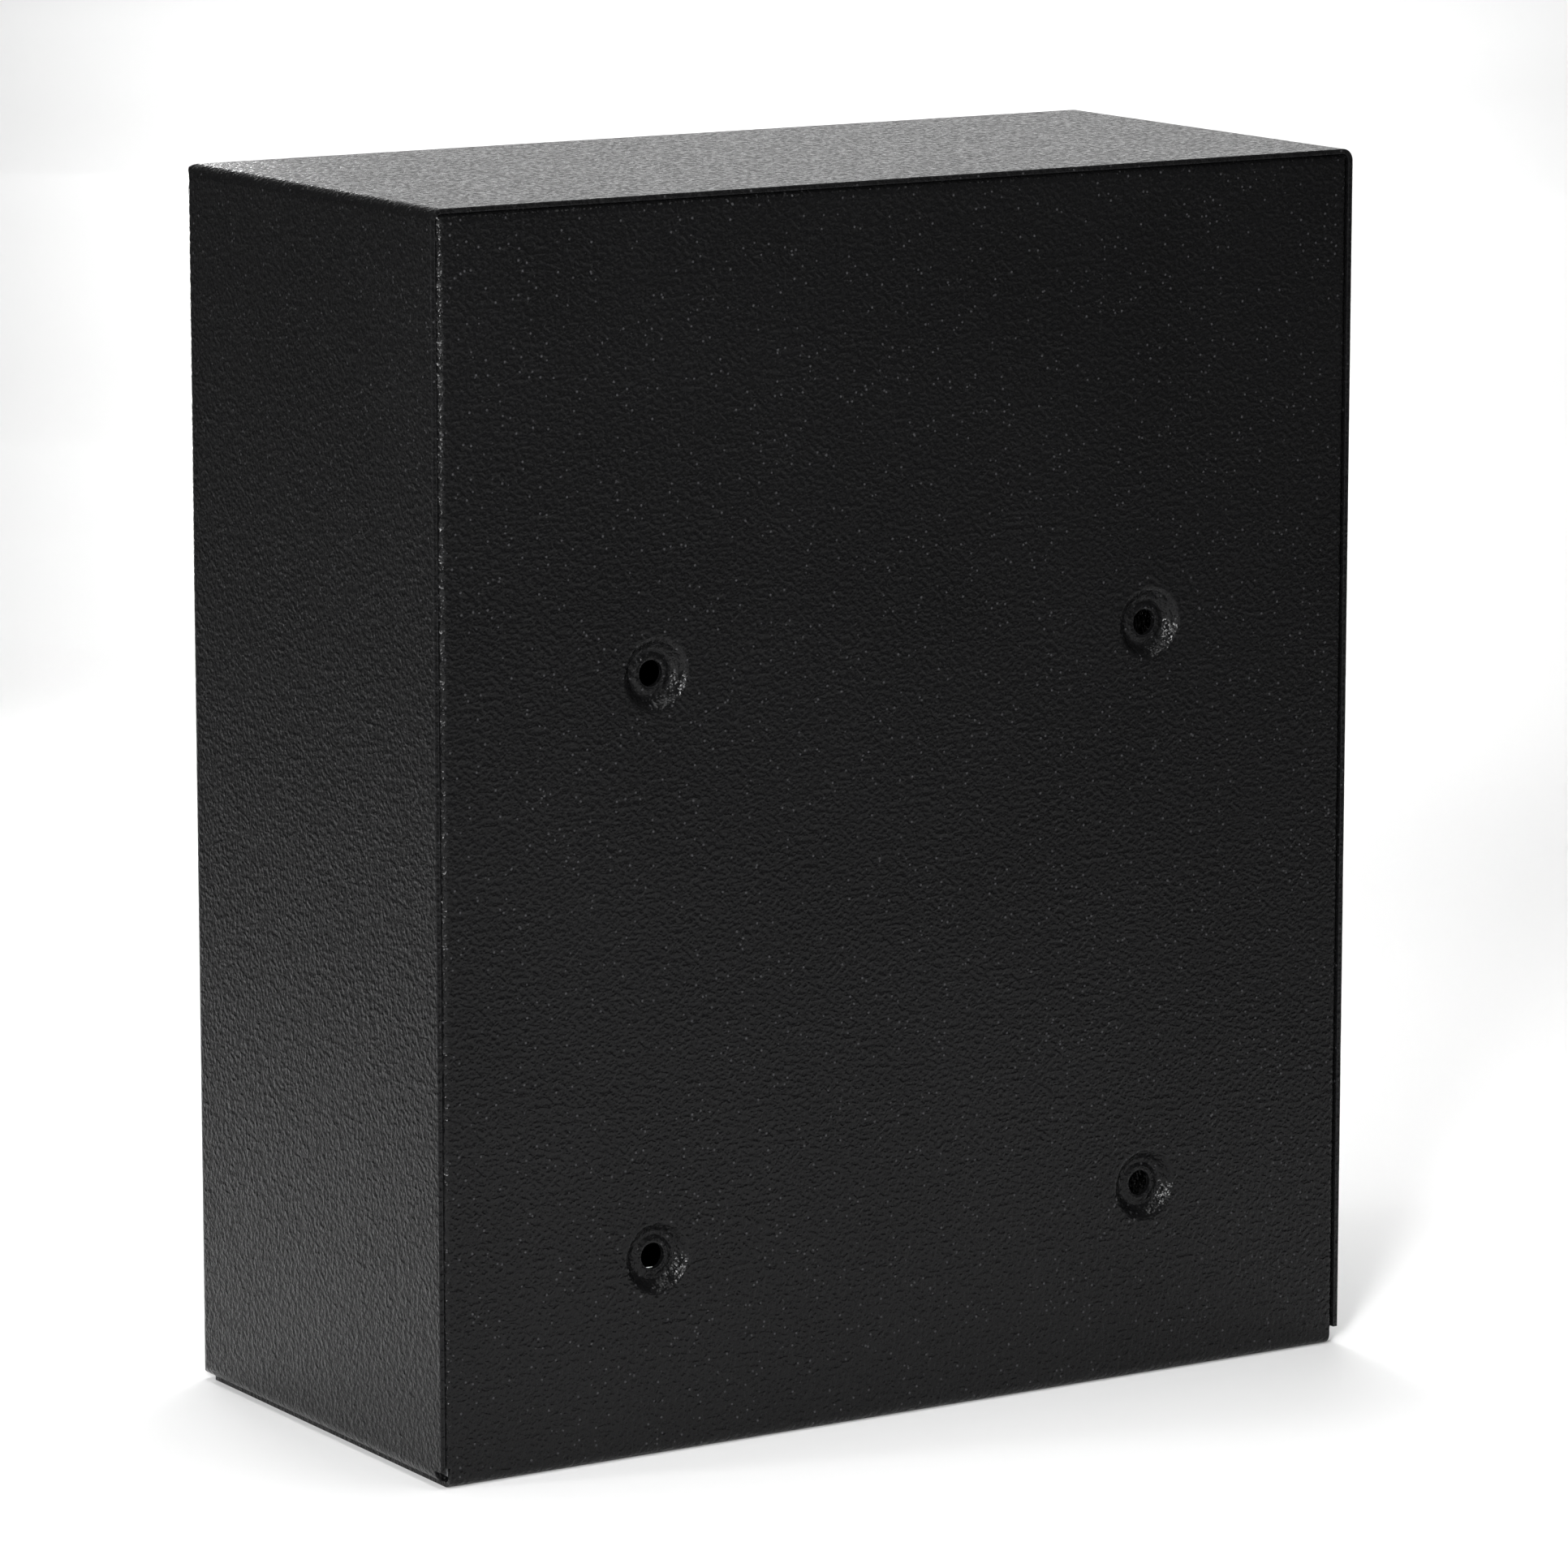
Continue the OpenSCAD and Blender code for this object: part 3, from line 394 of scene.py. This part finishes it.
def make_materials():
    """The finish of each of the record's material slots, and of the printed and lit details."""
    black = (0.004, 0.004, 0.0042)
    peel_depth = 0.45 * MM
    steel = (0.56, 0.56, 0.57)
    return {
        "body_coat": powder_coat("body_coat_look", black, peel_depth),
        "door_coat": powder_coat("door_coat_look", black, peel_depth),
        "bracket_steel": satin_paint("bracket_steel_look", (0.012, 0.012, 0.013)),
        "mat_felt": felt("mat_felt_look", (0.035, 0.036, 0.04)),
        "zinc_steel": plated("zinc_steel_look", steel, 0.38, (1, 1, 0.1), 1.08),
        "bright_steel": plated("bright_steel_look", (0.62, 0.62, 0.63), 0.25, (1, 1, 0.05)),
        "chrome_steel": plated("chrome_steel_look", (0.75, 0.75, 0.77), 0.12, (0.05, 1, 1)),
        "lock_metal": plated("lock_metal_look", (0.66, 0.66, 0.68), 0.2),
        "brass_parts": plated("brass_parts_look", (0.72, 0.52, 0.25), 0.28, (1, 0.1, 1)),
        "screw_steel": plated("screw_steel_look", (0.55, 0.55, 0.57), 0.3),
        "nylon": plastic("nylon_look", (0.72, 0.7, 0.62), 0.5),
        "knob_plastic": plastic("knob_plastic_look", (0.012, 0.012, 0.013), 0.34),
        "pad_plastic": plastic("pad_plastic_look", (0.012, 0.012, 0.013), 0.45, 0.07 * MM),
        "key_rubber": plastic("key_rubber_look", (0.045, 0.046, 0.05), 0.62, 0.02 * MM),
        "board_green": circuit_board("board_green_look", (0.015, 0.13, 0.045)),
        "lens_red": smoked_lens("lens_red_look", (0.3, 0.03, 0.03)),
        "coil_winding": winding("coil_winding_look", (0.4, 0.13, 0.035)),
        "ribbon_grey": ribbon("ribbon_grey_look", (0.3, 0.3, 0.32)),
        "lead_red": plastic("lead_red_look", (0.42, 0.015, 0.015), 0.3, 0.01 * MM),
        "button_red": plastic("button_red_look", (0.42, 0.015, 0.015), 0.3, 0.01 * MM),
        "tray_plastic": plastic("tray_plastic_look", (0.014, 0.014, 0.015), 0.45),
        "cell_wrap": cell_sleeve("cell_wrap_look", (0.02, 0.02, 0.024)),
        "print_white": plastic("print_white_look", (0.78, 0.78, 0.76), 0.55, 0.01 * MM),
        "lamp_green": plastic("lamp_green_look", (0.05, 0.5, 0.08), 0.15, 0.01 * MM),
        "lamp_red": plastic("lamp_red_look", (0.6, 0.03, 0.02), 0.15, 0.01 * MM),
        "lamp_amber": plastic("lamp_amber_look", (0.75, 0.3, 0.02), 0.15, 0.01 * MM),
    }


# ---- Shapes, drawn in millimetres ----


def piece(name, bm, body, finish, sharp=35):
    """Turns a drawn shape into a piece that rides on a body."""
    bmesh.ops.scale(bm, vec=(MM, MM, MM), verts=bm.verts)
    bmesh.ops.recalc_face_normals(bm, faces=bm.faces)
    mesh = bpy.data.meshes.new(name)
    bm.to_mesh(mesh)
    bm.free()
    mesh.shade_smooth()
    mesh.set_sharp_from_angle(angle=math.radians(sharp))
    mesh.materials.append(looks[finish])
    made = bpy.data.objects.new(name, mesh)
    bpy.context.collection.objects.link(made)
    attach(made, body)
    return made


def middle_of(node):
    """A node's middle, in millimetres."""
    low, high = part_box(node)
    return (low + high) / 2 / MM


def front_middle(node):
    """A node's middle across and up, in millimetres."""
    middle = middle_of(node)
    return (middle.x, middle.z)


def ring(bm, centre, half, radius, y, steps=8):
    """Points of one rounded rectangle across the Y axis."""
    points = []
    for quarter, (sx, sz) in enumerate(((1, 1), (-1, 1), (-1, -1), (1, -1))):
        for i in range(steps + 1):
            a = math.radians(90 * (quarter + i / steps))
            x = centre[0] + sx * (half[0] - radius) + radius * math.cos(a)
            z = centre[1] + sz * (half[1] - radius) + radius * math.sin(a)
            points.append(bm.verts.new((x, y, z)))
    return points


def join_rings(bm, rings, closed=False):
    """Skins a row of equal rings, with a face over each open end."""
    pairs = zip(rings, rings[1:] + rings[:1] if closed else rings[1:])
    for a, b in pairs:
        for i in range(len(a)):
            j = (i + 1) % len(a)
            bm.faces.new((a[i], a[j], b[j], b[i]))
    if not closed:
        bm.faces.new(rings[0])
        bm.faces.new(rings[-1])


def loft(bm, centre, half, radius, levels):
    """A solid across the Y axis. Each level is a depth and how far its outline is drawn in there."""
    rings = []
    for y, inset in levels:
        size = (half[0] - inset, half[1] - inset)
        rings.append(ring(bm, centre, size, max(0.02, radius - inset), y))
    join_rings(bm, rings)


def lathe(bm, centre, profile, steps=48, closed=False, flutes=0, flute_depth=0.0, fluted_from=0.0):
    """A shape turned about the Y axis from a list of (radius, y). A closed profile makes a ring."""
    rings = []
    for radius, y in profile:
        points = []
        for i in range(steps):
            a = 2 * math.pi * i / steps
            cut = flute_depth * (0.5 + 0.5 * math.cos(flutes * a)) ** 2 if radius > fluted_from else 0
            r = radius - cut
            points.append(bm.verts.new((centre[0] + r * math.cos(a), y, centre[1] + r * math.sin(a))))
        rings.append(points)
    join_rings(bm, rings, closed)


def arc(centre, radius, start, turn, steps):
    """Points along an arc, with its angles in radians."""
    angles = [start + turn * i / steps for i in range(steps + 1)]
    return [(centre[0] + radius * math.cos(a), centre[1] + radius * math.sin(a)) for a in angles]


def rounded_front(y_back, y_front, radius, steps=5):
    """Levels of a straight side that ends in a rounded front edge. The front faces -Y."""
    levels = [(y_back, 0)]
    for i in range(steps + 1):
        a = math.radians(90 * i / steps)
        levels.append((y_front + radius * (1 - math.sin(a)), radius * (1 - math.cos(a))))
    return levels


# ---- Door furniture ----


def make_knob():
    """Turn knob: fluted skirt, a rounded grip bar and a white line that shows which way it points."""
    low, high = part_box("knob")
    centre = front_middle("knob")
    front, back = low.y / MM, high.y / MM
    reach = (high.x - low.x) / 2 / MM
    bm = bmesh.new()
    skirt = [(reach - 0.4, back), (reach, back - 0.4), (reach, back - 3), (reach - 0.6, back - 4.4)]
    skirt += [(reach - 2.2, back - 5.4), (reach - 5, back - 6.3), (reach - 12, back - 6.8), (0.5, back - 7)]
    lathe(bm, centre, skirt, 288, flutes=36, flute_depth=0.5, fluted_from=reach - 1)
    grip = [(back - 4, -1.6), (back - 6.6, -1.2), (back - 7.4, -0.4), (back - 8.6, 0)]
    grip += rounded_front(back - 10, front + 0.1, 2.4)
    loft(bm, centre, (5.5, reach - 1), 5.5, grip)
    knob = piece("knob_moulding", bm, "knob_set", "knob_plastic")
    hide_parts("knob")

    bm = bmesh.new()
    line_z = centre[1] + reach - 10.5
    loft(bm, (centre[0], line_z), (0.6, 5), 0.55, [(front + 0.6, 0), (front + 0.04, 0), (front, 0.1)])
    piece("knob_line", bm, "knob_set", "print_white")


def make_knob_marks():
    """Printed marks around the knob: a ring above it for open, and a disc left of it for locked.

    The disc is on the wrong side. The knob's line turns to the right, so its turn should be -80.
    """
    centre = front_middle("knob_shaft")
    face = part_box("door_panel")[0].y / MM
    distance, radius, ink = 27.5, 1.8, 0.06
    for name, turn, inner in (("mark_open", 0, 1.0), ("mark_locked", 80, 0)):
        a = math.radians(90 + turn)
        spot = (centre[0] + distance * math.cos(a), centre[1] + distance * math.sin(a))
        outline = [(radius, face), (radius, face - ink)]
        if inner:
            outline += [(inner, face - ink), (inner, face)]
        bm = bmesh.new()
        lathe(bm, spot, outline, 32, closed=bool(inner))
        piece(name, bm, "door", "print_white")


def make_key(name):
    """One key cap with a softly dished top, and the rim that keeps it in."""
    node = "key_" + name
    low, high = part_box(node)
    front, back = low.y / MM, high.y / MM
    rim = 1.0
    rim_front, rim_back = front + 4.2, front + 5.4
    half = ((high.x - low.x) / 2 / MM - rim, (high.z - low.z) / 2 / MM - rim)
    levels = [(back, 0), (rim_back, 0), (rim_back, -rim), (rim_front, -rim), (rim_front, 0)]
    levels += rounded_front(front + 3, front, 0.9)
    levels += [(front + 0.08, 1.8), (front + 0.2, 2.8), (front + 0.28, 4.2)]
    bm = bmesh.new()
    loft(bm, front_middle(node), half, 1.7, levels)
    cap = piece("cap_" + name, bm, "press_" + name, "key_rubber")
    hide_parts(node)


def make_legend(name):
    """The numeral or sign printed on one key cap."""
    node = "key_" + name
    centre = front_middle(node)
    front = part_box(node)[0].y / MM
    text = bpy.data.curves.new("legend", "FONT")
    text.body = KEY_LEGENDS.get(name, name)
    text.size = 12 if name == "star" else 8
    text.extrude = 0.1
    holder = bpy.data.objects.new("legend", text)
    bpy.context.collection.objects.link(holder)
    bm = bmesh.new()
    bm.from_mesh(bpy.data.meshes.new_from_object(holder))
    bpy.data.objects.remove(holder)
    bmesh.ops.rotate(bm, matrix=Matrix.Rotation(math.radians(90), 3, "X"), verts=bm.verts)
    xs = [v.co.x for v in bm.verts]
    zs = [v.co.z for v in bm.verts]
    shift = (centre[0] - (min(xs) + max(xs)) / 2, front + 0.22, centre[1] - (min(zs) + max(zs)) / 2)
    bmesh.ops.translate(bm, vec=shift, verts=bm.verts)
    piece("legend_" + name, bm, "press_" + name, "print_white")


def make_key_frame():
    """A raised frame around the keys."""
    centre = front_middle("keypad_housing")
    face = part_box("keypad_housing")[0].y / MM
    columns = [front_middle("key_" + name)[0] for name in KEYS]
    rows = [front_middle("key_" + name)[1] for name in KEYS]
    margin_x, margin_z, corner, rise = 12, 10, 4, 0.7
    half = ((max(columns) - min(columns)) / 2 + margin_x, (max(rows) - min(rows)) / 2 + margin_z)
    spot = (centre[0], (max(rows) + min(rows)) / 2)
    section = [(face + 0.2, -0.9), (face - rise + 0.3, -0.9), (face - rise, -0.6), (face - rise, 0.6),
               (face - rise + 0.3, 0.9), (face + 0.2, 0.9)]
    bm = bmesh.new()
    rings = [ring(bm, spot, (half[0] - d, half[1] - d), corner - d, y) for y, d in section]
    join_rings(bm, rings, closed=True)
    piece("key_frame", bm, "door", "pad_plastic")


def make_status_lamps():
    """Three domed lamps in a row behind the keypad's window."""
    lens = front_middle("status_lens")
    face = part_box("keypad_housing")[0].y / MM
    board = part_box("keypad_board")[0].y / MM
    radius, pitch, depth = 1.5, 7.5, 5
    for i, colour in enumerate(("lamp_red", "lamp_amber", "lamp_green")):
        dome = [(radius, board + 1)]
        for degrees in range(0, 81, 16):
            a = math.radians(degrees)
            dome.append((radius * math.cos(a), face + depth - radius * math.sin(a)))
        bm = bmesh.new()
        lathe(bm, (lens[0] + pitch * (i - 1), lens[1]), dome, 24)
        piece("status_" + colour, bm, "door", colour)


def make_flap():
    """Keyhole flap: a softly rounded drop, with a big arc over the lock and a small one at the rivet."""
    low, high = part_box("keyhole_flap")
    lock, pivot = front_middle("lock_plug"), front_middle("flap_rivet")
    big, small = (high.x - low.x) / 2 / MM, high.z / MM - pivot[1]
    lean = math.asin((big - small) / (pivot[1] - lock[1]))
    front, back = low.y / MM, high.y / MM
    bm = bmesh.new()
    rings = []
    for y, inset in [(back, 0.2)] + rounded_front(back - 0.2, front, 1.0):
        outline = arc(lock, big - inset, math.pi - lean, math.pi + 2 * lean, 40)
        outline += arc(pivot, small - inset, lean, math.pi - 2 * lean, 16)
        rings.append([bm.verts.new((x, y, z)) for x, z in outline])
    join_rings(bm, rings)
    flap = piece("flap_moulding", bm, "flap", "knob_plastic")
    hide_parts("keyhole_flap")


# ---- Inside ----


def make_mat():
    """Felt mat: a thin pad with soft, slightly uneven edges, lying on the floor."""
    low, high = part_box("floor_mat")
    x0, x1, y0, y1 = (v / MM for v in (low.x, high.x, low.y, high.y))
    z0, z1 = low.z / MM, high.z / MM
    columns, rows = 84, 28
    bm = bmesh.new()
    grids = []
    for top in (False, True):
        grid = []
        for j in range(rows + 1):
            line = []
            for i in range(columns + 1):
                u, v = i / columns, j / rows
                rim = min(u * (x1 - x0), (1 - u) * (x1 - x0), v * (y1 - y0), (1 - v) * (y1 - y0))
                x = x0 + u * (x1 - x0) + (0.3 * math.sin(23 * v) if i in (0, columns) else 0) * (1 - 2 * u)
                y = y0 + v * (y1 - y0)
                swell = 0.12 * math.sin(9 * u + 4 * v) + 0.1 * math.sin(17 * v - 6 * u)
                z = z1 - 0.25 + swell - 0.8 * math.exp(-rim / 1.2) if top else z0 + 0.02
                line.append(bm.verts.new((max(x0, min(x1, x)), y, z)))
            grid.append(line)
        grids.append(grid)
    for grid in grids:
        for j in range(rows):
            for i in range(columns):
                bm.faces.new((grid[j][i], grid[j][i + 1], grid[j + 1][i + 1], grid[j + 1][i]))
    for lower, upper in zip(edge_of(grids[0]), edge_of(grids[1])):
        bm.faces.new((lower[0], lower[1], upper[1], upper[0]))
    mat = piece("felt_mat", bm, "cabinet", "mat_felt", 60)
    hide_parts("floor_mat")


def edge_of(grid):
    """The pairs of neighbours around the edge of a grid of points."""
    right = [line[-1] for line in grid[1:]]
    left = [line[0] for line in grid[-2:0:-1]]
    loop = grid[0] + right + grid[-1][-2::-1] + left
    return list(zip(loop, loop[1:] + loop[:1]))


def weld(name, start, end, body):
    """A welding bead: overlapping scales along a line, slightly uneven."""
    start, end = Vector(start), Vector(end)
    run = end - start
    count = int(run.length / 1.1)
    side = run.normalized().orthogonal()
    up = run.normalized().cross(side)
    bm = bmesh.new()
    rings = []
    for i in range(count * 4 + 1):
        t = i / (count * 4)
        scale = 0.75 + 0.25 * abs(math.sin(math.pi * count * t)) + random.uniform(-0.05, 0.05)
        scale *= min(1, 0.35 + 3 * min(t, 1 - t) * count / 4)
        centre = start + run * t
        rings.append([bm.verts.new(centre + (side * math.cos(a) + up * math.sin(a)) * scale)
                      for a in (2 * math.pi * k / 10 for k in range(10))])
    join_rings(bm, rings)
    piece(name, bm, body, "bracket_steel", 80)


def make_welds():
    """Beads where the hinge plates and the strike plate meet the cabinet."""
    for node, at_top in (("upper_hinge_plate", True), ("lower_hinge_plate", False)):
        low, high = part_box(node)
        z = (high.z if at_top else low.z) / MM
        inward = -0.4 if at_top else 0.4
        x = (low.x / MM + 1.5, high.x / MM - 1.5)
        y = high.y / MM
        weld(node + "_weld", (x[0], y, z + inward), (x[1], y, z + inward), "cabinet")
    low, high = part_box("strike_plate")
    x, y, bead = high.x / MM, high.y / MM, 14
    for n, share in enumerate((0.02, 0.46, 0.9)):
        z = (low.z + (high.z - low.z) * share) / MM
        weld("strike_weld_%d" % n, (x, y, z), (x, y, z + bead), "cabinet")


def make_lid_grip():
    """Ribs on the battery lid that a thumb pushes against, shorter from rib to rib."""
    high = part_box("battery_cover")[1]
    centre = middle_of("battery_cover")
    face = high.y / MM
    count, first, pitch, reach, taper = 6, 8, 2.6, 12, 1.1
    levels = [(face - 0.3, 0), (face + 0.4, 0), (face + 0.6, 0.2), (face + 0.7, 0.45)]
    bm = bmesh.new()
    for n in range(count):
        spot = (centre[0], high.z / MM - first - pitch * n)
        loft(bm, spot, (reach - taper * n, 0.7), 0.65, levels)
    piece("battery_lid_ribs", bm, "battery_lid", "tray_plastic")


def make_key_slot_rim():
    """Turned ring around the keyway, with a polished chamfer."""
    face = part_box("lock_cylinder")[0].y / MM
    outline = [(9.6, face + 0.3), (9.6, face - 0.25), (9.1, face - 0.45), (8.2, face - 0.45),
               (7.7, face - 0.2), (7.7, face + 0.3)]
    bm = bmesh.new()
    lathe(bm, front_middle("lock_cylinder"), outline, 64, closed=True)
    piece("lock_rim", bm, "door", "chrome_steel")


# ---- Scene ----

make_camera()
make_floor()
make_light()
looks = make_materials()
slot_of = {s["node"]: s["material_slot"] for s in frame["record"]["subparts"]}
for name, node in frame["nodes"].items():
    for slot in node.material_slots:
        slot.material = looks[slot_of[name]]

make_knob()
make_knob_marks()
for name in KEYS:
    make_key(name)
    make_legend(name)
make_key_frame()
make_status_lamps()
make_flap()
make_key_slot_rim()
make_mat()
make_welds()
make_lid_grip()
